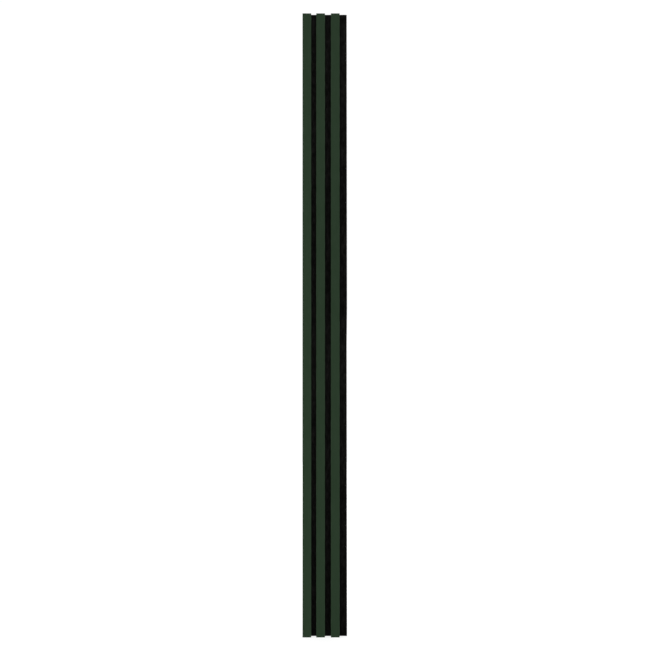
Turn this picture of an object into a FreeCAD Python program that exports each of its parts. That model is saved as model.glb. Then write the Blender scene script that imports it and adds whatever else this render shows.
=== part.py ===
import FreeCAD, Part
import os
import Sketcher

# A narrow slat wall panel: three wrapped slats, glued and stapled to a felt board. The left slat overhangs
# the felt, and the felt reaches past the right slat, so that a row of panels laps together.
#
# Frame: the wall is the plane y = 0 and the slats face -Y. +Z runs along the panel from its low end, z = 0.
# x = 0 is midway between the panel's outermost edges, the left slat's side and the flange's widest place.
# All sizes are in millimetres.

DRIVING_DIMENSIONS = [
    ("panel_length", "2750", "slats and felt, cut flush at both ends"),
    ("slat_width", "38.4", "a slat across, over its wrap"),
    ("slat_depth", "16", "from a core's back to the wrap's front"),
    ("gap_left", "22.2", "between the left and middle slats"),
    ("gap_right", "26.2", "between the middle and right slats"),
    ("lap_flange", "32.4", "felt past the right slat, on average"),
    ("edge_wander", "0.8", "how far the flange's cut edge strays either side of that"),
    ("wander_step", "155", "length at mid-panel over which the cut edge comes back in"),
    ("lap_rebate", "9", "the left slat's overhang past the felt"),
    ("felt_thickness", "9", "the felt board, front to back"),
    ("glue_thickness", "0.5", "between the felt and a core"),
    ("wrap_thickness", "0.3", "the green wrap round a core"),
    ("wrap_return", "6", "wrap turned onto a core's back, each side"),
    ("front_edge_radius", "1.5", "outside, on a slat's front corners"),
    ("back_edge_radius", "0.8", "outside, on a slat's back corners"),
    ("bead_width", "4", "one glue bead across"),
    ("bead_offset", "7.8", "from a slat's middle to the middle of each bead"),
    ("bead_end_margin", "8", "bare length at each end of a bead"),
    ("staple_count", "12", "staples in each slat"),
    ("staple_end_margin", "60", "from a panel end to the first staple"),
    ("staple_crown", "10", "a staple across, outside its legs"),
    ("staple_leg", "14", "from the crown's outer face to the points"),
    ("wire_thickness", "0.7", "staple wire, in the plane of the staple"),
    ("wire_width", "0.9", "staple wire, along the panel"),
    ("wire_bend_radius", "1", "outside of a staple's two bends"),
    ("crown_sink", "0.4", "a crown's outer face below the wall side of the felt"),
]

# Stations that follow from the driving dimensions, as expressions of the sheet named dims.
PANEL_LEFT = (
    "(-(3 * dims.slat_width + dims.gap_left + dims.gap_right + dims.lap_flange + dims.edge_wander) / 2)"
)
SLAT_MIDDLES = {
    "left": f"({PANEL_LEFT} + dims.slat_width / 2)",
    "middle": f"({PANEL_LEFT} + dims.slat_width * 3 / 2 + dims.gap_left)",
    "right": f"({PANEL_LEFT} + dims.slat_width * 5 / 2 + dims.gap_left + dims.gap_right)",
}
FELT_LEFT = f"({PANEL_LEFT} + dims.lap_rebate)"
FLANGE_WIDE = f"(-{PANEL_LEFT})"
FLANGE_NARROW = f"({FLANGE_WIDE} - 2 * dims.edge_wander)"

# The lowest staple of a slat. Its legs stand either side of the slat's middle.
STAPLE_LOW = "(dims.staple_end_margin - dims.wire_width / 2)"
STAPLE_HIGH = "(dims.staple_end_margin + dims.wire_width / 2)"
STAPLE_RUN = "(dims.panel_length - 2 * dims.staple_end_margin)"
LEG_OUTSIDE = "(dims.staple_crown / 2)"
LEG_INSIDE = "(dims.staple_crown / 2 - dims.wire_thickness)"
CROWN_DEPTH = "(dims.crown_sink + dims.wire_thickness)"

# A slat's own frame has its origin on the felt's front face, at the middle of the slat's width.
HALF_SLAT = "(dims.slat_width / 2)"
HALF_CORE = "(dims.slat_width / 2 - dims.wrap_thickness)"
CORE_BACK = "(-dims.glue_thickness)"
CORE_FRONT = "(-dims.glue_thickness - dims.slat_depth + dims.wrap_thickness)"
WRAP_BACK = "(-dims.glue_thickness + dims.wrap_thickness)"
WRAP_FRONT = "(-dims.glue_thickness - dims.slat_depth)"
RETURN_EDGE = "(dims.slat_width / 2 - dims.wrap_return)"
CORE_FRONT_RADIUS = "dims.front_edge_radius - dims.wrap_thickness"
CORE_BACK_RADIUS = "dims.back_edge_radius - dims.wrap_thickness"

LINE_START, LINE_END = 1, 2
SKETCH_ORIGIN = (-1, 1)
SAME_PLACE = 1e-4


# --- Document and sheet -------------------------------------------------------------------------------

doc = FreeCAD.newDocument("slat_wall_panel")
sheet = doc.addObject("Spreadsheet::Sheet", "dims")


def fill_sheet():
    for row, (alias, number, meaning) in enumerate(DRIVING_DIMENSIONS, start=1):
        sheet.set(f"A{row}", alias)
        sheet.set(f"B{row}", number)
        sheet.set(f"C{row}", meaning)
        sheet.setAlias(f"B{row}", alias)
    doc.recompute()


def value(expression):
    """The number that an expression of the sheet gives."""
    return float(sheet.evalExpression(expression))


# --- Building blocks ----------------------------------------------------------------------------------

def new_body(label, x="0", y="0", z="0"):
    """An empty body whose place in the panel follows the sheet."""
    body = doc.addObject("PartDesign::Body", label)
    body.Label = label
    for axis, expression in (("x", x), ("y", y), ("z", z)):
        body.setExpression(f".Placement.Base.{axis}", expression)
    return body


def origin_feature(body, role):
    return next(feature for feature in body.Origin.OriginFeatures if feature.Role == role)


def new_sketch(body, name, plane):
    sketch = body.newObject("Sketcher::SketchObject", name)
    sketch.AttachmentSupport = [(origin_feature(body, plane), "")]
    sketch.MapMode = "FlatFace"
    return sketch


def draw_outline(sketch, corners):
    """A closed outline of straight edges, each corner held across and up by two expressions."""
    points = [FreeCAD.Vector(value(across), value(up), 0) for across, up in corners]
    first = sketch.GeometryCount
    for start, end in zip(points, points[1:] + points[:1]):
        sketch.addGeometry(Part.LineSegment(start, end), False)
    for number, corner in enumerate(corners):
        edge = first + number
        next_edge = first + (number + 1) % len(corners)
        sketch.addConstraint(Sketcher.Constraint("Coincident", edge, LINE_END, next_edge, LINE_START))
        for kind, expression in zip(("DistanceX", "DistanceY"), corner):
            constraint = Sketcher.Constraint(kind, *SKETCH_ORIGIN, edge, LINE_START, value(expression))
            index = sketch.addConstraint(constraint)
            sketch.setExpression(f"Constraints[{index}]", expression)


def draw_box(sketch, left, right, low, high):
    draw_outline(sketch, [(left, low), (right, low), (right, high), (left, high)])


def pad(body, name, sketch, length, midplane=False):
    feature = body.newObject("PartDesign::Pad", name)
    feature.Profile = sketch
    feature.Midplane = midplane
    feature.setExpression("Length", length)
    doc.recompute()
    return feature


def round_edges(body, name, base, radius, across, deep):
    """Rounds the two upright edges that stand at the given place in the section and at its mirror place."""
    chosen = []
    for number, edge in enumerate(base.Shape.Edges, start=1):
        middle = edge.CenterOfMass
        if abs(abs(middle.x) - value(across)) < SAME_PLACE and abs(middle.y - value(deep)) < SAME_PLACE:
            chosen.append(f"Edge{number}")
    if len(chosen) != 2:
        raise RuntimeError(f"{name}: found {len(chosen)} edges to round")
    feature = body.newObject("PartDesign::Fillet", name)
    feature.Base = (base, chosen)
    feature.setExpression("Radius", radius)
    doc.recompute()
    return feature


def cut_from_wall_side(body, name, sketch, depth, expected):
    """Cuts a sketch of the XZ plane into the body, towards -Y, and proves that it took material away."""
    before = body.Shape.Volume
    feature = body.newObject("PartDesign::Pocket", name)
    feature.Profile = sketch
    feature.Reversed = True
    feature.setExpression("Length", depth)
    doc.recompute()
    removed = before - feature.Shape.Volume
    if abs(removed - expected) > 0.01 * expected:
        raise RuntimeError(f"{name}: removed {removed:.3f} mm3 and not {expected:.3f} mm3")
    return feature


def repeat_along_panel(body, name, cuts=()):
    """Repeats the cuts, or else the body's whole shape, at every staple's place from the first one up."""
    feature = body.newObject("PartDesign::LinearPattern", name)
    feature.TransformMode = "Features" if cuts else "Whole shape"
    feature.Originals = list(cuts)
    feature.Direction = (origin_feature(body, "Z_Axis"), [""])
    feature.setExpression("Length", STAPLE_RUN)
    feature.setExpression("Occurrences", "dims.staple_count")
    body.Tip = feature
    doc.recompute()
    return feature


# --- Felt ---------------------------------------------------------------------------------------------

def make_felt_backing():
    """One felt board. Its right edge was cut by eye, so it strays out and comes back in twice."""
    body = new_body("felt_backing")
    outline = new_sketch(body, "felt_outline", "XZ_Plane")
    draw_outline(outline, [
        (FELT_LEFT, "0"),
        (FLANGE_WIDE, "0"),
        (FLANGE_NARROW, "(dims.panel_length - dims.wander_step) / 2"),
        (FLANGE_WIDE, "(dims.panel_length + dims.wander_step) / 2"),
        (FLANGE_NARROW, "dims.panel_length"),
        (FELT_LEFT, "dims.panel_length"),
    ])
    pad(body, "felt_board", outline, "dims.felt_thickness")

    crowns = new_sketch(body, "crown_slots", "XZ_Plane")
    legs = new_sketch(body, "leg_slots", "XZ_Plane")
    for middle in SLAT_MIDDLES.values():
        draw_box(crowns, f"{middle} - {LEG_OUTSIDE}", f"{middle} + {LEG_OUTSIDE}", STAPLE_LOW, STAPLE_HIGH)
        draw_box(legs, f"{middle} - {LEG_OUTSIDE}", f"{middle} - {LEG_INSIDE}", STAPLE_LOW, STAPLE_HIGH)
        draw_box(legs, f"{middle} + {LEG_INSIDE}", f"{middle} + {LEG_OUTSIDE}", STAPLE_LOW, STAPLE_HIGH)
    slats = len(SLAT_MIDDLES)
    crown_volume = value(f"dims.staple_crown * dims.wire_width * {CROWN_DEPTH}")
    leg_volume = value(f"dims.wire_thickness * dims.wire_width * (dims.felt_thickness - {CROWN_DEPTH})")
    crown_cut = cut_from_wall_side(body, "crown_cut", crowns, CROWN_DEPTH, slats * crown_volume)
    leg_cut = cut_from_wall_side(body, "leg_cut", legs, "dims.felt_thickness", 2 * slats * leg_volume)
    repeat_along_panel(body, "slots_along_felt", [crown_cut, leg_cut])
    return body


# --- Slats: core, wrap, glue, staples -----------------------------------------------------------------

def make_slat_core(side):
    """A fibreboard bar with eased corners, and the slots that its staples' legs were driven into."""
    body = new_body(f"slat_core_{side}", x=SLAT_MIDDLES[side], y="-dims.felt_thickness")
    section = new_sketch(body, f"core_section_{side}", "XY_Plane")
    draw_box(section, f"-{HALF_CORE}", HALF_CORE, CORE_FRONT, CORE_BACK)
    bar = pad(body, f"core_bar_{side}", section, "dims.panel_length")
    eased = round_edges(body, f"core_front_{side}", bar, CORE_FRONT_RADIUS, HALF_CORE, CORE_FRONT)
    round_edges(body, f"core_back_{side}", eased, CORE_BACK_RADIUS, HALF_CORE, CORE_BACK)

    reach = "dims.crown_sink + dims.staple_leg - dims.felt_thickness"
    legs = new_sketch(body, f"core_leg_slots_{side}", "XZ_Plane")
    draw_box(legs, f"-{LEG_OUTSIDE}", f"-{LEG_INSIDE}", STAPLE_LOW, STAPLE_HIGH)
    draw_box(legs, LEG_INSIDE, LEG_OUTSIDE, STAPLE_LOW, STAPLE_HIGH)
    leg_volume = value(f"dims.wire_thickness * dims.wire_width * ({reach} - dims.glue_thickness)")
    leg_cut = cut_from_wall_side(body, f"core_leg_cut_{side}", legs, reach, 2 * leg_volume)
    repeat_along_panel(body, f"slots_along_core_{side}", [leg_cut])
    return body


def make_green_wrap(side):
    """The wrap, one strip folded round the core's front and sides and turned onto its back."""
    body = new_body(f"green_wrap_{side}", x=SLAT_MIDDLES[side], y="-dims.felt_thickness")
    section = new_sketch(body, f"wrap_section_{side}", "XY_Plane")
    draw_outline(section, [
        (RETURN_EDGE, WRAP_BACK),
        (HALF_SLAT, WRAP_BACK),
        (HALF_SLAT, WRAP_FRONT),
        (f"-{HALF_SLAT}", WRAP_FRONT),
        (f"-{HALF_SLAT}", WRAP_BACK),
        (f"-{RETURN_EDGE}", WRAP_BACK),
        (f"-{RETURN_EDGE}", CORE_BACK),
        (f"-{HALF_CORE}", CORE_BACK),
        (f"-{HALF_CORE}", CORE_FRONT),
        (HALF_CORE, CORE_FRONT),
        (HALF_CORE, CORE_BACK),
        (RETURN_EDGE, CORE_BACK),
    ])
    strip = pad(body, f"wrap_strip_{side}", section, "dims.panel_length")
    folds = [
        ("front_outside", "dims.front_edge_radius", HALF_SLAT, WRAP_FRONT),
        ("front_inside", CORE_FRONT_RADIUS, HALF_CORE, CORE_FRONT),
        ("back_outside", "dims.back_edge_radius", HALF_SLAT, WRAP_BACK),
        ("back_inside", CORE_BACK_RADIUS, HALF_CORE, CORE_BACK),
    ]
    for fold, radius, across, deep in folds:
        strip = round_edges(body, f"wrap_{fold}_{side}", strip, radius, across, deep)
    return body


def make_glue_bead(side, number, middle):
    """A bead of set glue between the felt and the core, clear of the staples and the wrap's returns."""
    body = new_body(
        f"glue_bead_{side}_{number}", x=SLAT_MIDDLES[side], y="-dims.felt_thickness", z="dims.bead_end_margin"
    )
    section = new_sketch(body, f"bead_section_{side}_{number}", "XY_Plane")
    left = f"({middle} - dims.bead_width / 2)"
    right = f"({middle} + dims.bead_width / 2)"
    draw_box(section, left, right, CORE_BACK, "0")
    pad(body, f"bead_run_{side}_{number}", section, "dims.panel_length - 2 * dims.bead_end_margin")
    return body


def make_staples(side):
    """The slat's staples: flat wire bent to a U, crown towards the wall, bevelled points in the core."""
    body = new_body(f"staples_{side}", x=SLAT_MIDDLES[side], z="dims.staple_end_margin")
    profile = new_sketch(body, f"staple_profile_{side}", "XY_Plane")
    crown_back = "(-dims.crown_sink)"
    crown_front = f"(-{CROWN_DEPTH})"
    point = "(-dims.crown_sink - dims.staple_leg)"
    bevel = f"({point} + dims.wire_thickness)"
    draw_outline(profile, [
        (LEG_OUTSIDE, crown_back),
        (f"-{LEG_OUTSIDE}", crown_back),
        (f"-{LEG_OUTSIDE}", point),
        (f"-{LEG_INSIDE}", bevel),
        (f"-{LEG_INSIDE}", crown_front),
        (LEG_INSIDE, crown_front),
        (LEG_INSIDE, bevel),
        (LEG_OUTSIDE, point),
    ])
    flat = pad(body, f"staple_flat_{side}", profile, "dims.wire_width", midplane=True)
    bent = round_edges(body, f"staple_bends_{side}", flat, "dims.wire_bend_radius", LEG_OUTSIDE, crown_back)
    inside_radius = "dims.wire_bend_radius - dims.wire_thickness"
    round_edges(body, f"staple_inner_bends_{side}", bent, inside_radius, LEG_INSIDE, crown_front)
    repeat_along_panel(body, f"staples_along_slat_{side}")
    return body


# --- Assembly, checks and files -----------------------------------------------------------------------

def make_panel():
    """Every sub-part with the number of separate solids that it must hold."""
    staples = int(value("dims.staple_count"))
    made = [(make_felt_backing(), 1)]
    for side in SLAT_MIDDLES:
        made.append((make_slat_core(side), 1))
        made.append((make_green_wrap(side), 1))
        for number, middle in enumerate(("-dims.bead_offset", "dims.bead_offset"), start=1):
            made.append((make_glue_bead(side, number, middle), 1))
        made.append((make_staples(side), staples))
    return made


def check_document():
    for item in doc.Objects:
        if "Invalid" in item.State or "Error" in item.State:
            raise RuntimeError(f"{item.Label} failed to compute: {item.State}")


def check_sub_part(body, solids):
    if body.Shape.isNull() or not body.Shape.isValid():
        raise RuntimeError(f"{body.Label} has no valid shape")
    if len(body.Shape.Solids) != solids:
        raise RuntimeError(f"{body.Label} has {len(body.Shape.Solids)} solids and not {solids}")


fill_sheet()
sub_parts = make_panel()
doc.recompute()
check_document()
for sub_part, solid_count in sub_parts:
    check_sub_part(sub_part, solid_count)

os.makedirs("parts", exist_ok=True)
for sub_part, solid_count in sub_parts:
    sub_part.Shape.exportStep(f"parts/{sub_part.Label}.step")
    box = sub_part.Shape.BoundBox
    print(
        f"{sub_part.Label}: {solid_count} solids, {sub_part.Shape.Volume:.1f} mm3, "
        f"x {box.XMin:.2f} to {box.XMax:.2f}, y {box.YMin:.2f} to {box.YMax:.2f}, "
        f"z {box.ZMin:.2f} to {box.ZMax:.2f}"
    )
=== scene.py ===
# %% [markdown]
# # Dressing a slat wall panel
#
# The panel is three fibreboard slats wrapped in dark green foil, glued and stapled to a black felt board.
# The left slat overhangs the felt, and the felt reaches past the right slat, so panels lap in a row.
#
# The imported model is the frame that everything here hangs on. It is in metres: the wall is the plane
# y = 0, the slats face -Y, and Z runs up the panel from its low end. Nothing in it is moved. The slats
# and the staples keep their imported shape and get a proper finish. The felt is soft and the glue was
# squeezed, so those two are modelled again here.

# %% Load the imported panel
import math

import bmesh
import bpy
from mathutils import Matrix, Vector


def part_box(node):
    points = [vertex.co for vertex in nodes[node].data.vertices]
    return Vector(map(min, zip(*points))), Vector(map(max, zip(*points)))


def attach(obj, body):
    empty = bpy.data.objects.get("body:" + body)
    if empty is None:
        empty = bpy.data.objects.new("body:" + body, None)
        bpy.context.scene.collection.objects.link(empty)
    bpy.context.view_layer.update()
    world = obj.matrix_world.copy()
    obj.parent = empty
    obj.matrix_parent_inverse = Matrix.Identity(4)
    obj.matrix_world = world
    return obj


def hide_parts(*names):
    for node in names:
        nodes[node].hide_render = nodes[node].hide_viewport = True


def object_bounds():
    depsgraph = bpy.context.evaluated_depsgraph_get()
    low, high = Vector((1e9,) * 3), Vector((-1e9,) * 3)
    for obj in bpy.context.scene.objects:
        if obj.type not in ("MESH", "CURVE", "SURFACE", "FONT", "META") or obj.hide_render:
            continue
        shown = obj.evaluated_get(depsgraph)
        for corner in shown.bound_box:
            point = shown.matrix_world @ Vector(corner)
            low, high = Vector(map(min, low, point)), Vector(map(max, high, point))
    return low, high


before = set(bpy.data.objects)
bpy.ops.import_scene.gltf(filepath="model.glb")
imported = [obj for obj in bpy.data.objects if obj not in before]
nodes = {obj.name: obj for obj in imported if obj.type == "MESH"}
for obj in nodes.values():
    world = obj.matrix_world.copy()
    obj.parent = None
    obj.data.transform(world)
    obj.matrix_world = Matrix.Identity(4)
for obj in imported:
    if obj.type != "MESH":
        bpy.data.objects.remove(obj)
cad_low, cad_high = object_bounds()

print("packed nodes:", ", ".join(sorted(nodes)))
print("packed size in metres:", [round(side, 4) for side in cad_high - cad_low])

# %% [markdown]
# ## Where the slats and the felt are
#
# Every later step needs to know where each slat starts and ends, so those places are read from the frame
# once. Reading them, rather than typing them, keeps the felt and the finishes in step with the panel.

# %% Read the slats' and the felt's boxes
SIDES = ("left", "middle", "right")

slat_boxes = {side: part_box(f"green_wrap_{side}") for side in SIDES}
felt_low, felt_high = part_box("felt_backing")
panel_length = felt_high.z - felt_low.z
slat_front = slat_boxes["left"][0].y

for side, (low, high) in slat_boxes.items():
    print(f"{side} slat: x {low.x:.4f} to {high.x:.4f}, {high.x - low.x:.4f} wide")
print(f"felt: x {felt_low.x:.4f} to {felt_high.x:.4f}, {felt_high.y - felt_low.y:.4f} thick")

# %% [markdown]
# ## The camera
#
# A tall thin panel is best seen square on, from a few metres away, so that its sides stay parallel. The
# camera could be tilted from eye height, but then the slats would lean together. Instead it looks level
# along +Y from the middle of the panel's height. The lens is worked out from the distance and from how
# tall the view has to be.

# %% Stand the camera in front of the slats
VIEWING_DISTANCE = 3.533
VIEW_HEIGHT = 2.864
SENSOR_WIDTH = 36.0
CAMERA_RIGHT_OF_LEFT_SLAT = 0.0992
CAMERA_ABOVE_MIDDLE = 0.0018

camera_place = (
    slat_boxes["left"][0].x + CAMERA_RIGHT_OF_LEFT_SLAT,
    slat_front - VIEWING_DISTANCE,
    panel_length / 2 + CAMERA_ABOVE_MIDDLE,
)
bpy.ops.object.camera_add(location=camera_place, rotation=(math.radians(90), 0, 0))
camera = bpy.context.object
camera.name = "camera"
camera.data.sensor_width = SENSOR_WIDTH
camera.data.lens = SENSOR_WIDTH * VIEWING_DISTANCE / VIEW_HEIGHT
bpy.context.scene.camera = camera
print(f"lens {camera.data.lens:.1f} mm at", [round(place, 4) for place in camera_place])

# %% [markdown]
# ## The studio
#
# Dark green and black show best on white. The panel stands on a wide floor of glowing white paint, as on
# a light table, so it casts no shadow on it. The glow is only a little brighter than the backdrop's
# white, because a glaring floor would eat into the slats' edges.

# %% Lay the floor
FLOOR_SIZE = 9.0
FLOOR_PAINT = (0.35, 0.35, 0.35, 1)
FLOOR_ROUGHNESS = 0.9
FLOOR_GLOW = 0.72
WHITE = (1, 1, 1, 1)

bpy.ops.object.select_all(action="DESELECT")
bpy.ops.mesh.primitive_plane_add(size=FLOOR_SIZE, location=(0, 0, cad_low.z))
floor = bpy.context.object
floor.name = "studio_floor"

floor_paint = bpy.data.materials.new("glowing_floor_paint")
floor_paint.use_nodes = True
floor_surface = floor_paint.node_tree.nodes["Principled BSDF"]
floor_surface.inputs["Base Color"].default_value = FLOOR_PAINT
floor_surface.inputs["Roughness"].default_value = FLOOR_ROUGHNESS
floor_surface.inputs["Specular IOR Level"].default_value = 0.0
floor_surface.inputs["Emission Color"].default_value = WHITE
floor_surface.inputs["Emission Strength"].default_value = FLOOR_GLOW
floor.data.materials.append(floor_paint)
print("floor:", FLOOR_SIZE, "m square")

# %% [markdown]
# The room could simply be white, but a white room mirrors in the foil and the felt, and turns both milky.
# So the room is grey for the light that falls on the panel, and white only for what the camera sees
# behind it. The Light Path node tells the two apart.

# %% Light the room
ROOM_GREY = 0.18
CAMERA_WHITE = 1.02

room = bpy.data.worlds.new("studio_room")
room.use_nodes = True
room.node_tree.nodes.clear()
room_light = room.node_tree.nodes.new("ShaderNodeBackground")
room_light.inputs["Color"].default_value = WHITE
room_light.inputs["Strength"].default_value = ROOM_GREY
backdrop = room.node_tree.nodes.new("ShaderNodeBackground")
backdrop.inputs["Color"].default_value = WHITE
backdrop.inputs["Strength"].default_value = CAMERA_WHITE
which_ray = room.node_tree.nodes.new("ShaderNodeLightPath")
either = room.node_tree.nodes.new("ShaderNodeMixShader")
room_output = room.node_tree.nodes.new("ShaderNodeOutputWorld")
room.node_tree.links.new(which_ray.outputs["Is Camera Ray"], either.inputs["Fac"])
room.node_tree.links.new(room_light.outputs["Background"], either.inputs[1])
room.node_tree.links.new(backdrop.outputs["Background"], either.inputs[2])
room.node_tree.links.new(either.outputs["Shader"], room_output.inputs["Surface"])
bpy.context.scene.world = room
bpy.context.scene.view_settings.view_transform = "Standard"
print("room:", ROOM_GREY, "for the panel,", CAMERA_WHITE, "for the camera")

# %% [markdown]
# Under one very wide, dim ceiling softbox, four tall softboxes light the panel: two in front, set low so
# that its foot is as bright as its head, and two behind for the wall side. They stand near the middle,
# so that their light reaches the bottom of the channels between the slats. The left ones are stronger,
# which shades each slat a little from left to right.


# %% Hang the softboxes
def hang_softbox(name, place, aim, size, brightness):
    """A softbox of a width and height that faces `aim`. Its power follows from how bright its face is."""
    width, height = size
    bpy.ops.object.light_add(type="AREA", location=place)
    softbox = bpy.context.object
    softbox.name = name
    softbox.data.shape = "RECTANGLE"
    softbox.data.size = width
    softbox.data.size_y = height
    softbox.data.energy = brightness * math.pi * width * height
    softbox.rotation_euler = (Vector(aim) - Vector(place)).to_track_quat("-Z", "Y").to_euler()
    softbox.visible_camera = False
    print(f"{name}: {softbox.data.energy:.0f} W")


CEILING_HEIGHT = 6.0
CEILING_SIZE = (16.0, 16.0)
CEILING_BRIGHTNESS = 1.15
TALL_BOX = (1.6, 3.2)
TO_SIDE, AWAY = 1.2, 4.5
FRONT_HEIGHT, BACK_HEIGHT = 2.1, 3.2
BRIGHTNESS = {"left": (3.5, 4.4), "right": (2.65, 3.6)}

panel_middle = (0, 0, panel_length / 2)
hang_softbox("ceiling_softbox", (0, 0, CEILING_HEIGHT), (0, 0, 0), CEILING_SIZE, CEILING_BRIGHTNESS)
for side, x in (("left", -TO_SIDE), ("right", TO_SIDE)):
    front, back = BRIGHTNESS[side]
    hang_softbox(f"front_softbox_{side}", (x, -AWAY, FRONT_HEIGHT), panel_middle, TALL_BOX, front)
    hang_softbox(f"back_softbox_{side}", (x, AWAY, BACK_HEIGHT), panel_middle, TALL_BOX, back)


# %% [markdown]
# ## The felt board
#
# The backing is pressed polyester felt, cut from a roll. Its faces are never quite flat, its cut edges
# are soft, and it is squeezed under the slats and swells a little between them. It could be one cloth
# simulation, but it is a stiff board that nothing pulls out of shape, so it is modelled by hand: a block
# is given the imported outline, divided into a fine grid and then pushed about as felt is.
#
# By hand, faces and edges are picked with the mouse. Here they are picked by their place, so a few small
# helpers come first.


# %% Selecting by place
def select_where(piece, kind, wanted):
    """In edit mode, select the piece's "verts", "edges" or "faces" that wanted() accepts."""
    bpy.ops.mesh.select_mode(type={"verts": "VERT", "edges": "EDGE", "faces": "FACE"}[kind])
    bpy.ops.mesh.select_all(action="DESELECT")
    shape = bmesh.from_edit_mesh(piece.data)
    chosen = [element for element in getattr(shape, kind) if wanted(element)]
    for element in chosen:
        element.select_set(True)
    shape.select_flush_mode()
    bmesh.update_edit_mesh(piece.data)
    return len(chosen)


def run_of(edge):
    """How far an edge reaches along x, y and z."""
    reach = edge.verts[1].co - edge.verts[0].co
    return Vector((abs(reach.x), abs(reach.y), abs(reach.z)))


def middle_of(edge):
    """The place half way along an edge."""
    return (edge.verts[0].co + edge.verts[1].co) / 2


# %% [markdown]
# The block starts as a cube one metre a side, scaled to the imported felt's box. The scale and the place
# are applied at once, so that lengths in edit mode are true lengths and the object stays at the origin.


# %% Start with a block of the felt's size
def new_block(name, low, high):
    """A block between two corners, with its place and size in its mesh."""
    bpy.ops.object.select_all(action="DESELECT")
    bpy.ops.mesh.primitive_cube_add(size=1, location=(low + high) / 2)
    block = bpy.context.object
    block.name = name
    block.scale = high - low
    bpy.ops.object.transform_apply(location=True, rotation=True, scale=True)
    return block


felt = new_block("felt_board", felt_low, felt_high)
print("felt block:", [round(side, 4) for side in felt.dimensions])

# %% [markdown]
# The flange's free edge isn't quite straight: twice along the panel the cut comes in by a millimetre and
# a half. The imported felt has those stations, so they are read from its mesh. The block is sliced at each
# one, and the corner posts there are slid in to the same place.

# %% Cut the wandering edge
NEARLY = 2e-5

flange_inside = slat_boxes["right"][1].x
edge_stations = sorted({
    (round(vertex.co.z, 5), round(vertex.co.x, 5))
    for vertex in nodes["felt_backing"].data.vertices
    if vertex.co.x > (flange_inside + felt_high.x) / 2
})
print("the cut edge's stations (z, x):", edge_stations)

bpy.ops.object.mode_set(mode="EDIT")
for z, x in edge_stations[1:-1]:
    bpy.ops.mesh.select_all(action="SELECT")
    bpy.ops.mesh.bisect(plane_co=(0, 0, z), plane_no=(0, 0, 1))
for z, x in edge_stations:
    select_where(felt, "verts", lambda vertex: abs(vertex.co.z - z) < NEARLY and vertex.co.x > flange_inside)
    bpy.ops.transform.translate(value=(x - felt_high.x, 0, 0))

# %% [markdown]
# A knife leaves felt with a soft corner about a millimetre round. A bevel on the block's sharp corners
# does that now, while there are only a few edges to choose from.

# %% Soften the cut corners
CORNER_ROUNDING = 0.0011
CORNER_STEPS = 3
SHARP = math.radians(60)

corner_count = select_where(
    felt, "edges", lambda edge: edge.is_manifold and edge.calc_face_angle() > SHARP)
bpy.ops.mesh.bevel(offset=CORNER_ROUNDING, offset_type="OFFSET", segments=CORNER_STEPS, affect="EDGES")
print(corner_count, "sharp edges rounded")

# %% [markdown]
# To take a shape, the board needs a grid: about 5 mm squares on its faces, and four layers through its
# thickness. Subdividing edges that all run one way slices every face they cross, so three passes give
# the grid. A single operator makes at most a hundred cuts, so the long runs are cut in two goes.

# %% Divide the board into a fine grid
GRID = 0.005
COARSE_PARTS = 10
THICKNESS_LAYERS = 4


def divide(piece, chosen, parts):
    """Slice the piece into `parts` along the edges that chosen() accepts."""
    select_where(piece, "edges", chosen)
    bpy.ops.mesh.subdivide(number_cuts=parts - 1)


for (z_low, _), (z_high, _) in zip(edge_stations, edge_stations[1:]):
    section = z_high - z_low
    divide(
        felt,
        lambda edge: run_of(edge).z > section / 2 and z_low < middle_of(edge).z < z_high,
        round(section / GRID / COARSE_PARTS),
    )
divide(felt, lambda edge: run_of(edge).z > 2 * GRID, COARSE_PARTS)

board_width = felt_high.x - felt_low.x
board_thickness = felt_high.y - felt_low.y
divide(felt, lambda edge: run_of(edge).x > board_width / 2, round(board_width / GRID))
divide(felt, lambda edge: run_of(edge).y > board_thickness / 2, THICKNESS_LAYERS)
print("felt faces:", len(bmesh.from_edit_mesh(felt.data).faces))

# %% [markdown]
# Every staple's crown presses a dimple into the wall side. The staples' places are read from the packed
# ones: the points nearest the wall belong to crowns, and they fall into bunches along the panel.

# %% Find the staples
CROWN_DEPTH = 0.0012
BUNCH_GAP = 0.05


def stations_of(numbers, gap):
    """The middles of the bunches that the numbers fall into, where bunches are a gap apart."""
    bunches = []
    for number in sorted(numbers):
        if bunches and number - bunches[-1][-1] < gap:
            bunches[-1].append(number)
        else:
            bunches.append([number])
    return [(bunch[0] + bunch[-1]) / 2 for bunch in bunches]


crowns = []
for side in SIDES:
    crown_points = [v.co for v in nodes[f"staples_{side}"].data.vertices if v.co.y > -CROWN_DEPTH]
    crown_low = min(point.x for point in crown_points)
    crown_high = max(point.x for point in crown_points)
    for z in stations_of([point.z for point in crown_points], BUNCH_GAP):
        crowns.append((crown_low, crown_high, z))
print(len(crowns), "staple crowns, each", round(crown_high - crown_low, 4), "wide")


def distance_to_crown(place):
    """From a place on the wall side to the nearest staple crown, in metres."""
    return min(
        math.hypot(max(low - place.x, 0, place.x - high), place.z - z)
        for low, high, z in crowns
    )


# %% [markdown]
# The cut sides are where the felt looks most like felt, so they get twice the rows, and the wall side
# gets a finer patch round every staple. Only those faces are divided; their neighbours are split into
# triangles, which keeps the skin closed.

# %% Refine the cut sides and the staple patches
DIMPLE_REACH = 0.0048
DIMPLE_ROWS = 4


def on_cut_side(edge):
    """True for the lengthwise edges of the two cut sides and of their rounded corners."""
    if not GRID / 2 < run_of(edge).z < 2 * GRID:
        return False
    x = middle_of(edge).x
    return x < felt_low.x + 1.5 * CORNER_ROUNDING or x > felt_high.x - 3 * CORNER_ROUNDING


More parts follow.
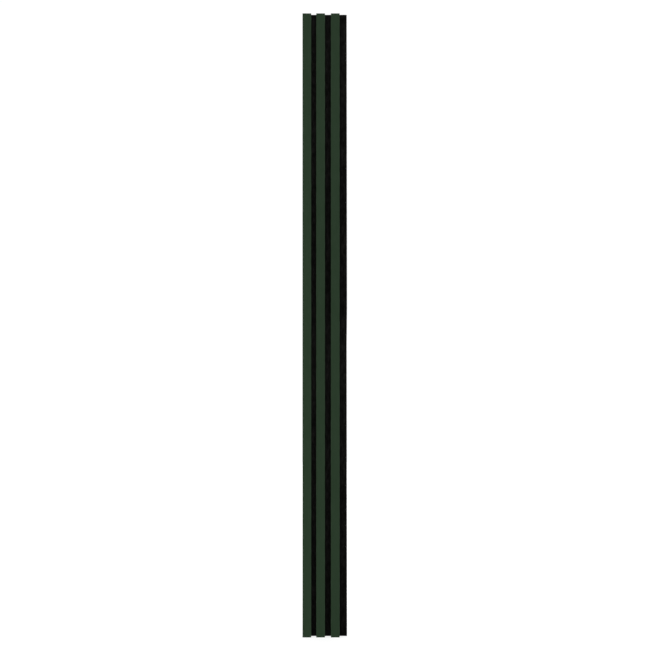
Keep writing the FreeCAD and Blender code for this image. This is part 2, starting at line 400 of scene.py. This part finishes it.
def round_a_staple(face):
    """True for the faces of the wall side that lie within a dimple's reach of a crown."""
    middle = face.calc_center_median()
    return middle.y > -NEARLY and distance_to_crown(middle) < DIMPLE_REACH + GRID / 2


select_where(felt, "edges", on_cut_side)
bpy.ops.mesh.subdivide(number_cuts=1, ngon=False)
staple_faces = select_where(felt, "faces", round_a_staple)
bpy.ops.mesh.subdivide(number_cuts=DIMPLE_ROWS - 1, ngon=False)
print(staple_faces, "faces refined round the staples; now", len(bmesh.from_edit_mesh(felt.data).faces))
bpy.ops.object.mode_set(mode="OBJECT")

# %% [markdown]
# Now the board is pushed about. Points could be moved one by one in code, but a Displace modifier does it
# as it is done by hand: it moves points along their normals or along one axis, evenly or by a cloudy
# texture, and a vertex group says how much each point takes part. Each one is applied before the next.


# %% Helpers to push felt about
def ease(share):
    """0 to 1 with a soft start and a soft end."""
    share = min(max(share, 0), 1)
    return share * share * (3 - 2 * share)


def weigh(piece, name, weight_of):
    """A vertex group in which each point has the weight that weight_of(its place) gives."""
    group = piece.vertex_groups.new(name=name)
    for vertex in piece.data.vertices:
        weight = weight_of(vertex.co)
        if weight > 0:
            group.add([vertex.index], weight, "REPLACE")


def push(piece, name, distance, direction="NORMAL", lump_size=None):
    """Displace the piece by its vertex group `name`, evenly, or unevenly in lumps of a size."""
    bpy.context.view_layer.objects.active = piece
    displace = piece.modifiers.new(name, "DISPLACE")
    displace.vertex_group = name
    displace.direction = direction
    displace.strength = distance
    displace.mid_level = 0
    if lump_size:
        lumps = bpy.data.textures.new(name, "CLOUDS")
        lumps.noise_scale = lump_size
        displace.texture = lumps
        displace.texture_coords = "LOCAL"
        displace.mid_level = 0.5
    bpy.ops.object.modifier_apply(modifier=name)
    piece.vertex_groups.remove(piece.vertex_groups[name])


# %% [markdown]
# Behind a slat the felt is held down. In the channels and on the flange nothing holds it, so its front
# swells there by half a millimetre or less, easing in from the slats' sides.

# %% Swell the felt between the slats
SWELL = 0.0004
SWELL_RUN_IN = 0.006


def outside_the_slats(x):
    """How far x is from the nearest slat's side, or 0 behind a slat."""
    return min(max(low.x - x, x - high.x, 0) for low, high in slat_boxes.values())


def free_front(place):
    """1 on the front between the slats, easing to 0 behind them and half way through the board."""
    toward_front = (felt_high.y - place.y) / board_thickness
    return ease(outside_the_slats(place.x) / SWELL_RUN_IN) * ease(2 * toward_front - 1)


weigh(felt, "swelling", free_front)
push(felt, "swelling", -SWELL, direction="Y")
print(f"felt swollen by {SWELL * 1000:.1f} mm between the slats")

# %% [markdown]
# Pressed felt is never quite flat. It has slow waves about a hand's breadth long, and finer lumps where
# the fleece lay thicker. Both are a fraction of a millimetre, enough to catch a grazing light.

# %% Make the faces uneven
FELT_WAVES = {"unevenness": (0.00022, 0.07), "lumpiness": (0.00012, 0.014)}

for name, (height, lump_size) in FELT_WAVES.items():
    weigh(felt, name, lambda place: 1)
    push(felt, name, height, lump_size=lump_size)
    print(f"{name}: {height * 1000:.2f} mm over lumps of {lump_size * 1000:.0f} mm")

# %% [markdown]
# A knife drags fibres out of the felt as it goes, so the cut sides and ends are ragged in a finer lump
# than the faces. The raggedness fades out within a couple of millimetres of the cut.

# %% Fray the cut sides and ends
FRAY_REACH = 0.0022
FRAY_DEPTH = 0.0008
FRAY_LUMP = 0.0045


def flange_edge_at(z):
    """The x of the flange's free edge at a height, between the stations it was cut to."""
    for (z_low, x_low), (z_high, x_high) in zip(edge_stations, edge_stations[1:]):
        if z <= z_high:
            return x_low + (x_high - x_low) * (z - z_low) / (z_high - z_low)
    return edge_stations[-1][1]


def near_a_cut(place):
    """1 on a cut side or end, easing to 0 as far in as the cut shows."""
    inside = min(
        place.x - felt_low.x,
        flange_edge_at(place.z) - place.x,
        place.z - felt_low.z,
        felt_high.z - place.z,
    )
    return ease(1 - inside / FRAY_REACH)


weigh(felt, "fraying", near_a_cut)
push(felt, "fraying", FRAY_DEPTH, lump_size=FRAY_LUMP)
print(f"cuts ragged by {FRAY_DEPTH / 2 * 1000:.1f} mm at most either way")

# %% [markdown]
# A staple gun drives a crown flush and then a little more, so each crown lies at the bottom of a dimple
# of squeezed felt. After that the board has its shape, and its normals are smoothed except at corners.

# %% Dimple the wall side at the staples
DIMPLE_DEPTH = 0.00105
SMOOTH_BELOW = math.radians(50)


def in_a_dimple(place):
    """1 at a crown, easing to 0 at a dimple's rim, and 0 all through the board's other layers."""
    if place.y < felt_high.y - board_thickness / THICKNESS_LAYERS:
        return 0
    return ease(1 - distance_to_crown(place) / DIMPLE_REACH)


weigh(felt, "dimples", in_a_dimple)
push(felt, "dimples", -DIMPLE_DEPTH, direction="Y")
bpy.ops.object.shade_smooth_by_angle(angle=SMOOTH_BELOW)

felt_triangles = sum(len(face.vertices) - 2 for face in felt.data.polygons)
print("felt triangles:", felt_triangles)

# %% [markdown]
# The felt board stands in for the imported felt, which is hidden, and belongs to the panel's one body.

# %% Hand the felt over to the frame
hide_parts("felt_backing")
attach(felt, "root")

# %% [markdown]
# ## The glue
#
# Hot glue goes on as a round bead, and the slat squeezes it out to a flat ribbon with uneven sides and
# round ends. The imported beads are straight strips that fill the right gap, so each one is the start of a
# ribbon. Six ribbons could be modelled one by one, but one smooth ribbon is enough to start them all.

# %% Model one smooth ribbon of glue
GLUE_GRID = 0.006
GLUE_END_ROUNDING = 0.0018
GLUE_RIM_ROUNDING = 0.00012
GLUE_END_STEPS, GLUE_RIM_STEPS = 4, 2

glue_low, glue_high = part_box("glue_bead_left_1")
glue_width = glue_high.x - glue_low.x
smooth_glue = new_block("glue_ribbon_left_1", glue_low, glue_high)
bpy.ops.object.mode_set(mode="EDIT")
divide(smooth_glue, lambda edge: run_of(edge).x > glue_width / 2, 2)
divide(smooth_glue, lambda edge: run_of(edge).z > panel_length / 2, COARSE_PARTS)
divide(
    smooth_glue,
    lambda edge: run_of(edge).z > 2 * GLUE_GRID,
    round(panel_length / COARSE_PARTS / GLUE_GRID),
)


def at_an_end_corner(edge):
    """True for the short edges through the ribbon's thickness at its four corners."""
    middle = middle_of(edge)
    to_side = min(middle.x - glue_low.x, glue_high.x - middle.x)
    to_end = min(middle.z - glue_low.z, glue_high.z - middle.z)
    return max(to_side, to_end) < NEARLY and run_of(edge).y > 10 * NEARLY


select_where(smooth_glue, "edges", at_an_end_corner)
bpy.ops.mesh.bevel(
    offset=GLUE_END_ROUNDING, offset_type="OFFSET", segments=GLUE_END_STEPS, affect="EDGES")
select_where(smooth_glue, "edges", lambda edge: edge.calc_face_angle() > SHARP)
bpy.ops.mesh.bevel(
    offset=GLUE_RIM_ROUNDING, offset_type="OFFSET", segments=GLUE_RIM_STEPS, affect="EDGES")
bpy.ops.object.mode_set(mode="OBJECT")
print("glue ribbon faces:", len(smooth_glue.data.polygons))


# %% [markdown]
# The ribbon is copied to where the other packed beads are, and only then are the sides of each copy
# pushed about, so no two are alike. The two sides of a ribbon move on their own, in lumps of two sizes.


# %% Copy it under every slat and squeeze each one
def copy_to(piece, name, shift):
    """A copy with its own mesh, moved by shift, with its place in its mesh."""
    bpy.ops.object.select_all(action="DESELECT")
    piece.select_set(True)
    bpy.context.view_layer.objects.active = piece
    bpy.ops.object.duplicate(linked=False)
    copied = bpy.context.object
    copied.name = name
    copied.location = shift
    bpy.ops.object.transform_apply(location=True, rotation=False, scale=False)
    return copied


SQUEEZE = 0.0022
SQUEEZE_LUMPS = {"left_rim": 0.018, "right_rim": 0.026}

glue_ribbons = {"glue_bead_left_1": smooth_glue}
for node_name in sorted(nodes):
    if node_name.startswith("glue_bead") and node_name != "glue_bead_left_1":
        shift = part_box(node_name)[0] - glue_low
        ribbon_name = node_name.replace("bead", "ribbon")
        glue_ribbons[node_name] = copy_to(smooth_glue, ribbon_name, shift)

for node_name, ribbon in glue_ribbons.items():
    low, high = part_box(node_name)
    middle_x = (low.x + high.x) / 2
    weigh(ribbon, "left_rim", lambda place: place.x < middle_x - glue_width / 4)
    weigh(ribbon, "right_rim", lambda place: place.x > middle_x + glue_width / 4)
    for rim, lump_size in SQUEEZE_LUMPS.items():
        push(ribbon, rim, SQUEEZE, direction="X", lump_size=lump_size)
    bpy.ops.object.select_all(action="DESELECT")
    ribbon.select_set(True)
    bpy.ops.object.shade_smooth_by_angle(angle=SMOOTH_BELOW)
    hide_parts(node_name)
    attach(ribbon, "root")
print(len(glue_ribbons), "glue ribbons")

# %% [markdown]
# ## Finishes
#
# Each finish is a node tree that starts from the place of a point on the panel, in metres, so a grain or
# a fibre has its real size everywhere and no picture is needed. A few helpers keep the trees short. What
# is the same all over a surface, such as sheen, is set on the shader itself.


# %% Helpers to build a finish
def add_node(tree, kind, inputs=None, **settings):
    """Add a shader node, set it up, and link or fill its inputs."""
    node = tree.nodes.new("ShaderNode" + kind)
    for name, setting in settings.items():
        setattr(node, name, setting)
    for name, source in (inputs or {}).items():
        if isinstance(source, bpy.types.NodeSocket):
            tree.links.new(source, node.inputs[name])
        else:
            node.inputs[name].default_value = source
    return node


def new_finish(name):
    """A new finish, with its node tree and its shader."""
    finish = bpy.data.materials.new(name)
    finish.use_nodes = True
    return finish, finish.node_tree, finish.node_tree.nodes["Principled BSDF"]


def place_on_panel(tree):
    """Where a point is, in metres. Every piece sits at the origin, so this is its place on the panel."""
    return add_node(tree, "TexCoord").outputs["Object"]


def along(tree, axis, place):
    """One of "X", "Y" and "Z" of a place."""
    return add_node(tree, "SeparateXYZ", {"Vector": place}).outputs[axis]


def work_out(tree, operation, *values):
    """A sum, product or other Math operation on numbers and sockets."""
    node = add_node(tree, "Math", operation=operation)
    for socket, value in zip(node.inputs, values):
        if isinstance(value, bpy.types.NodeSocket):
            tree.links.new(value, socket)
        else:
            socket.default_value = value
    return node.outputs["Value"]


def work_out_place(tree, operation, place, other=None):
    """The same for places, where other is three numbers."""
    node = add_node(tree, "VectorMath", operation=operation)
    tree.links.new(place, node.inputs[0])
    if other is not None:
        node.inputs[1].default_value = other
    return node.outputs["Value" if operation == "LENGTH" else "Vector"]


# %% [markdown]
# Most of a finish is noise. Its lumps could be sized by a Scale setting, but that is lumps a metre. With
# a Mapping node of type Texture, the size of one lump is typed in instead, a different one along each
# axis, which is what stretches noise into fibres and grain.


# %% Helpers for noise and colour
def cloud(tree, lump, detail=2.0, turn=(0, 0, 0), middle=(0, 0, 0)):
    """Cloudy noise, about 0.3 to 0.7. lump is the size of one lump along x, y and z, in metres."""
    mapping = add_node(
        tree, "Mapping",
        {"Vector": place_on_panel(tree), "Location": middle, "Rotation": turn, "Scale": lump},
        vector_type="TEXTURE",
    )
    noise = add_node(
        tree, "TexNoise",
        {"Vector": mapping.outputs["Vector"], "Scale": 1.0, "Detail": detail},
    )
    return noise.outputs["Fac"]


def ramp(tree, value, low, high, at_low=0.0, at_high=1.0):
    """Ease from at_low to at_high while the value goes from low to high."""
    node = add_node(
        tree, "MapRange",
        {"Value": value, "From Min": low, "From Max": high, "To Min": at_low, "To Max": at_high},
        interpolation_type="SMOOTHSTEP",
    )
    return node.outputs["Result"]


def tint(tree, share, plain, tinted):
    """A colour between plain and tinted; either may be a colour or another tint."""
    node = add_node(tree, "Mix", data_type="RGBA")
    tree.links.new(share, node.inputs[0])
    for socket, colour in ((node.inputs[6], plain), (node.inputs[7], tinted)):
        if isinstance(colour, bpy.types.NodeSocket):
            tree.links.new(colour, socket)
        else:
            socket.default_value = (*colour, 1)
    return node.outputs[2]


def emboss(tree, surface, height, depth):
    """Raise the surface by `depth` metres where height is 1."""
    bump = add_node(tree, "Bump", {"Height": height, "Distance": depth, "Strength": 1.0})
    tree.links.new(bump.outputs["Normal"], surface.inputs["Normal"])


# %% [markdown]
# ### Black felt
#
# Pressed felt is a tangle of short fibres that lie mostly flat, in every direction. Noise stretched to
# eight times its width and cut to thin contour lines looks like one set of fibres, so three sets, turned
# to different directions, are laid over each other. Where a line is, the felt is a little less black.

# %% Lay the fibres
FELT_BLACK = (0.0026, 0.0025, 0.0023)
FELT_FIBRE = (0.0215, 0.0207, 0.0197)
FIBRE_LUMP = (0.0045, 0.0006, 0.0006)
FIBRE_TURNS = (0.15, 1.2, 2.2)
FIBRE_CONTOUR = 0.5
FIBRE_WIDTH = 0.028
FIBRE_SHARE = 0.5

felt_finish, tree, surface = new_finish("pressed_black_felt")

fibres = None
for turn in FIBRE_TURNS:
    noise = cloud(tree, FIBRE_LUMP, detail=1.0, turn=(0, turn, 0), middle=(turn, 0, 0))
    contour = work_out(tree, "ABSOLUTE", work_out(tree, "SUBTRACT", noise, FIBRE_CONTOUR))
    line = ramp(tree, contour, 0.0, FIBRE_WIDTH, 1.0, 0.0)
    fibres = line if fibres is None else work_out(tree, "MAXIMUM", fibres, line)
black = tint(tree, work_out(tree, "MULTIPLY", fibres, FIBRE_SHARE), FELT_BLACK, FELT_FIBRE)
print(len(FIBRE_TURNS), "sets of fibres")

# %% [markdown]
# Three kinds of unevenness keep the black from looking like paint: a mottle, large faint blotches, and on
# the cut sides the layers that the felt was pressed from, which is noise squashed through the thickness.
# The black is also darker towards the foot of each half of the panel and lighter towards its top. A colour
# ramp along the height does that, with a stop at each station of the cut edge.

# %% Shade the felt
MOTTLE_LUMP = (0.012, 0.012, 0.02)
BLOTCH_LUMP = (0.09, 0.09, 0.14)
LAYER_LUMP = (0.010, 0.0007, 0.025)
DRIFT_SHADES = (0.54, 1.07, 0.75, 1.06)

mottle = ramp(tree, cloud(tree, MOTTLE_LUMP, detail=3.0), 0.3, 0.7, 0.8, 1.2)
blotches = ramp(tree, cloud(tree, BLOTCH_LUMP, detail=1.0), 0.3, 0.7, 0.9, 1.1)
layers = ramp(tree, cloud(tree, LAYER_LUMP, detail=3.0), 0.38, 0.62, 0.72, 1.28)
uneven = work_out(tree, "MULTIPLY", work_out(tree, "MULTIPLY", mottle, blotches), layers)

height_share = work_out(tree, "DIVIDE", along(tree, "Z", place_on_panel(tree)), panel_length)
drift = add_node(tree, "ValToRGB", {"Fac": height_share})
drift_stops = drift.color_ramp.elements
drift_stops[0].position, drift_stops[1].position = 0, 1
for z, _ in edge_stations[1:-1]:
    drift_stops.new(z / panel_length)
for stop, shade in zip(drift_stops, DRIFT_SHADES):
    stop.color = (shade, shade, shade, 1)

shaded_black = add_node(tree, "VectorMath", operation="SCALE")
tree.links.new(black, shaded_black.inputs[0])
tree.links.new(work_out(tree, "MULTIPLY", uneven, drift.outputs["Color"]), shaded_black.inputs["Scale"])
tree.links.new(shaded_black.outputs["Vector"], surface.inputs["Base Color"])
print("felt shades:", DRIFT_SHADES, "at", [round(stop.position, 3) for stop in drift_stops])

# %% [markdown]
# Felt has no shine, only the sheen of its fuzz catching the light. The fibres, the fuzz and the layers
# stand out by a fraction of a millimetre, which is too fine for the mesh, so a bump does it.

# %% Give the felt its nap
FUZZ_LUMP = (0.0011, 0.0011, 0.0011)
FELT_RELIEF = 0.00018

fuzz = cloud(tree, FUZZ_LUMP, detail=3.0)
tree.links.new(ramp(tree, fuzz, 0.3, 0.7, 0.86, 1.0), surface.inputs["Roughness"])
nap = work_out(tree, "ADD", work_out(tree, "ADD", fibres, fuzz), layers)
emboss(tree, surface, nap, FELT_RELIEF)
surface.inputs["Specular IOR Level"].default_value = 0.0
surface.inputs["Sheen Weight"].default_value = 0.01
surface.inputs["Sheen Roughness"].default_value = 0.6
felt.data.materials.append(felt_finish)
print("felt finish:", len(tree.nodes), "nodes")

# %% [markdown]
# ### Dark green foil
#
# The slats are wrapped in a matt foil with a faint embossed grain that runs with the slat. Three things
# keep it from looking like flat paint: the grain itself, a very slow change of tone along the slat, and
# the edges, where the foil is stretched over a corner and polished by handling. Along the long corners
# the lighter colour there is partly that wear and partly a painted highlight on the arris. To find the
# edges, each slat's foil measures from the middle of its own slat, so there is one finish a slat, made
# the same way.


# %% Find the worn and highlit edges of a slat
CORNER_WEAR_AND_HIGHLIGHT_FROM, CORNER_WEAR_AND_HIGHLIGHT_TO = 0.0006, 0.0020
END_WEAR_REACH = 0.0018
WEAR_AND_HIGHLIGHT_LUMP = (0.01, 0.01, 0.03)


def wear_and_highlight_on_slat(tree, low, high):
    """1 where a slat between two corners is worn, at its long corners and its ends, in patches; at the long
    corners it also stands for a painted highlight on the arris.
    """
    middle = (low + high) / 2
    from_middle = work_out_place(tree, "SUBTRACT", place_on_panel(tree), middle)
    either_way = work_out_place(tree, "ABSOLUTE", from_middle)
    past_sides = work_out_place(tree, "SUBTRACT", either_way, high - middle)
    from_corner = work_out_place(
        tree, "LENGTH", work_out_place(tree, "MULTIPLY", past_sides, (1, 1, 0)))
    # The lighter band along the long corners is edge wear and also a painted highlight on the arris.
    corner_wear_and_highlight = ramp(tree, from_corner, CORNER_WEAR_AND_HIGHLIGHT_FROM, CORNER_WEAR_AND_HIGHLIGHT_TO, 1.0, 0.0)
    end_wear = ramp(tree, along(tree, "Z", past_sides), -END_WEAR_REACH, 0.0)
    patches = ramp(tree, cloud(tree, WEAR_AND_HIGHLIGHT_LUMP, detail=3.0), 0.4, 0.65)
    return work_out(tree, "MULTIPLY", work_out(tree, "MAXIMUM", corner_wear_and_highlight, end_wear), patches)


# %% Mix the foil
FOIL_GREEN = (0.0151, 0.0323, 0.0150)
FOIL_GRAIN = (0.0098, 0.0235, 0.0097)
# A lighter green for worn edges, and for the painted highlight along the slats' long corners.
FOIL_WORN_AND_HIGHLIT = (0.0420, 0.0700, 0.0430)
GRAIN_LUMP = (0.0005, 0.0005, 0.012)
TONE_LUMP = (0.05, 0.05, 0.30)
STREAK_LUMP = (0.0022, 0.0022, 0.09)
HANDLING_LUMP = (0.03, 0.03, 0.06)
RIPPLE_LUMP = (0.004, 0.004, 0.006)
GRAIN_SHARE, WEAR_AND_HIGHLIGHT_SHARE, WEAR_POLISH = 0.4, 0.6, 0.12
FOIL_RELIEF = 0.00003


def mix_green_foil(side):
    """The foil of one slat, worn along that slat's own edges, and painted lighter along its long corners as
    a highlight.
    """
    finish, tree, surface = new_finish(f"dark_green_foil_{side}")
    wear_and_highlight = wear_and_highlight_on_slat(tree, *slat_boxes[side])

    grain = ramp(tree, cloud(tree, GRAIN_LUMP, detail=3.0), 0.38, 0.62)
    tone = ramp(tree, cloud(tree, TONE_LUMP, detail=2.0), 0.3, 0.7, 0.0, 0.25)
    streaks = ramp(tree, cloud(tree, STREAK_LUMP, detail=3.0), 0.38, 0.62, 0.0, 0.22)
    grained = tint(tree, work_out(tree, "MULTIPLY", grain, GRAIN_SHARE), FOIL_GREEN, FOIL_GRAIN)
    toned = tint(tree, work_out(tree, "ADD", tone, streaks), grained, FOIL_GRAIN)
    # The foil is painted lighter where it is worn, and along the long corners as a painted highlight.
    worn_and_highlit = tint(tree, work_out(tree, "MULTIPLY", wear_and_highlight, WEAR_AND_HIGHLIGHT_SHARE), toned, FOIL_WORN_AND_HIGHLIT)
    tree.links.new(worn_and_highlit, surface.inputs["Base Color"])

    handled = ramp(tree, cloud(tree, HANDLING_LUMP, detail=4.0), 0.3, 0.7, 0.56, 0.66)
    polished = work_out(tree, "SUBTRACT", handled, work_out(tree, "MULTIPLY", wear_and_highlight, WEAR_POLISH))
    tree.links.new(polished, surface.inputs["Roughness"])
    ripple = cloud(tree, RIPPLE_LUMP, detail=1.0)
    emboss(tree, surface, work_out(tree, "ADD", grain, ripple), FOIL_RELIEF)
    surface.inputs["Specular IOR Level"].default_value = 0.1
    return finish


for side in SIDES:
    nodes[f"green_wrap_{side}"].material_slots[0].material = mix_green_foil(side)
    print("foil on the", side, "slat")

# %% [markdown]
# ### Raw fibreboard
#
# The slats' cores show at their sawn ends and in the strip behind the left slat. Fibreboard is pressed
# from wood fibre: fine fibres that lie flat in the board, with here and there a darker one, and denser,
# darker skins at its two faces. Noise squashed through the board's thickness gives the fibres, and the
# distance from the middle of the thickness gives the skins.

# %% Mix the fibreboard
BOARD_PALE = (0.290, 0.190, 0.110)
BOARD_DARK = (0.150, 0.091, 0.050)
BOARD_FLECK = (0.075, 0.043, 0.023)
BOARD_FIBRE_LUMP = (0.0016, 0.00022, 0.0016)
FLECK_LUMP = (0.0009, 0.0003, 0.0009)
SAW_LUMP = (0.03, 0.0007, 0.0007)
SKIN_START = 0.0045
BOARD_RELIEF = 0.00012

core_low, core_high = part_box("slat_core_left")
board_finish, tree, surface = new_finish("raw_fibreboard")

depth = along(tree, "Y", place_on_panel(tree))
from_middle = work_out(tree, "ABSOLUTE", work_out(tree, "SUBTRACT", depth, (core_low.y + core_high.y) / 2))
skins = ramp(tree, from_middle, SKIN_START, (core_high.y - core_low.y) / 2, 0.0, 0.5)
fibre = ramp(tree, cloud(tree, BOARD_FIBRE_LUMP, detail=4.0), 0.35, 0.65, 0.0, 0.5)
flecks = ramp(tree, cloud(tree, FLECK_LUMP, detail=2.0), 0.64, 0.72, 0.0, 0.8)
pressed = tint(tree, work_out(tree, "ADD", skins, fibre), BOARD_PALE, BOARD_DARK)
tree.links.new(tint(tree, flecks, pressed, BOARD_FLECK), surface.inputs["Base Color"])
tree.links.new(ramp(tree, fibre, 0.0, 0.5, 0.82, 0.95), surface.inputs["Roughness"])
saw_marks = cloud(tree, SAW_LUMP, detail=1.0)
emboss(tree, surface, work_out(tree, "ADD", fibre, saw_marks), BOARD_RELIEF)
surface.inputs["Specular IOR Level"].default_value = 0.2
for side in SIDES:
    nodes[f"slat_core_{side}"].material_slots[0].material = board_finish
print("fibreboard finish:", len(tree.nodes), "nodes")

# %% [markdown]
# ### Set glue
#
# Hot glue sets to a cloudy amber with small bubbles in it, and its skin stays slightly glossy. Light goes
# a little way in. Glass-like transmission would be slow and the ribbons are thin, so a small subsurface
# weight on the shader does that.

# %% Mix the glue
GLUE_CLEAR = (0.62, 0.53, 0.34)
GLUE_CLOUDY = (0.72, 0.66, 0.50)
CLOUDY_LUMP = (0.003, 0.001, 0.012)
BUBBLE_LUMP = (0.0006, 0.0006, 0.0006)
GLUE_RELIEF = 0.0001
GLUE_SCATTER = (0.002, 0.0012, 0.0006)

glue_finish, tree, surface = new_finish("set_amber_glue")
cloudy = ramp(tree, cloud(tree, CLOUDY_LUMP, detail=3.0), 0.35, 0.65)
bubbles = ramp(tree, cloud(tree, BUBBLE_LUMP, detail=0.0), 0.66, 0.74)
tree.links.new(tint(tree, cloudy, GLUE_CLEAR, GLUE_CLOUDY), surface.inputs["Base Color"])
tree.links.new(ramp(tree, cloudy, 0.0, 1.0, 0.28, 0.42), surface.inputs["Roughness"])
emboss(tree, surface, work_out(tree, "SUBTRACT", cloudy, bubbles), GLUE_RELIEF)
surface.inputs["Subsurface Weight"].default_value = 0.2
surface.inputs["Subsurface Radius"].default_value = GLUE_SCATTER
for ribbon in glue_ribbons.values():
    ribbon.data.materials.append(glue_finish)
print("glue finish:", len(tree.nodes), "nodes")

# %% [markdown]
# ### Staple wire
#
# Staples are flat steel wire with a thin zinc coat. The wire is drawn, so fine lines run along it, and
# the zinc is cloudy, duller in some patches than in others.

# %% Mix the zinc coat
ZINC_BRIGHT = (0.60, 0.60, 0.61)
ZINC_DULL = (0.36, 0.36, 0.38)
DRAWN_LUMP = (0.004, 0.004, 0.00008)
BLOOM_LUMP = (0.0009, 0.0009, 0.0009)
ZINC_RELIEF = 0.00002

wire_finish, tree, surface = new_finish("zinc_coated_wire")
drawn = ramp(tree, cloud(tree, DRAWN_LUMP, detail=2.0), 0.35, 0.65)
bloom = ramp(tree, cloud(tree, BLOOM_LUMP, detail=3.0), 0.42, 0.62)
tree.links.new(tint(tree, bloom, ZINC_BRIGHT, ZINC_DULL), surface.inputs["Base Color"])
tree.links.new(ramp(tree, bloom, 0.0, 1.0, 0.28, 0.5), surface.inputs["Roughness"])
emboss(tree, surface, work_out(tree, "ADD", drawn, bloom), ZINC_RELIEF)
surface.inputs["Metallic"].default_value = 1.0
for side in SIDES:
    nodes[f"staples_{side}"].material_slots[0].material = wire_finish
print("wire finish:", len(tree.nodes), "nodes")
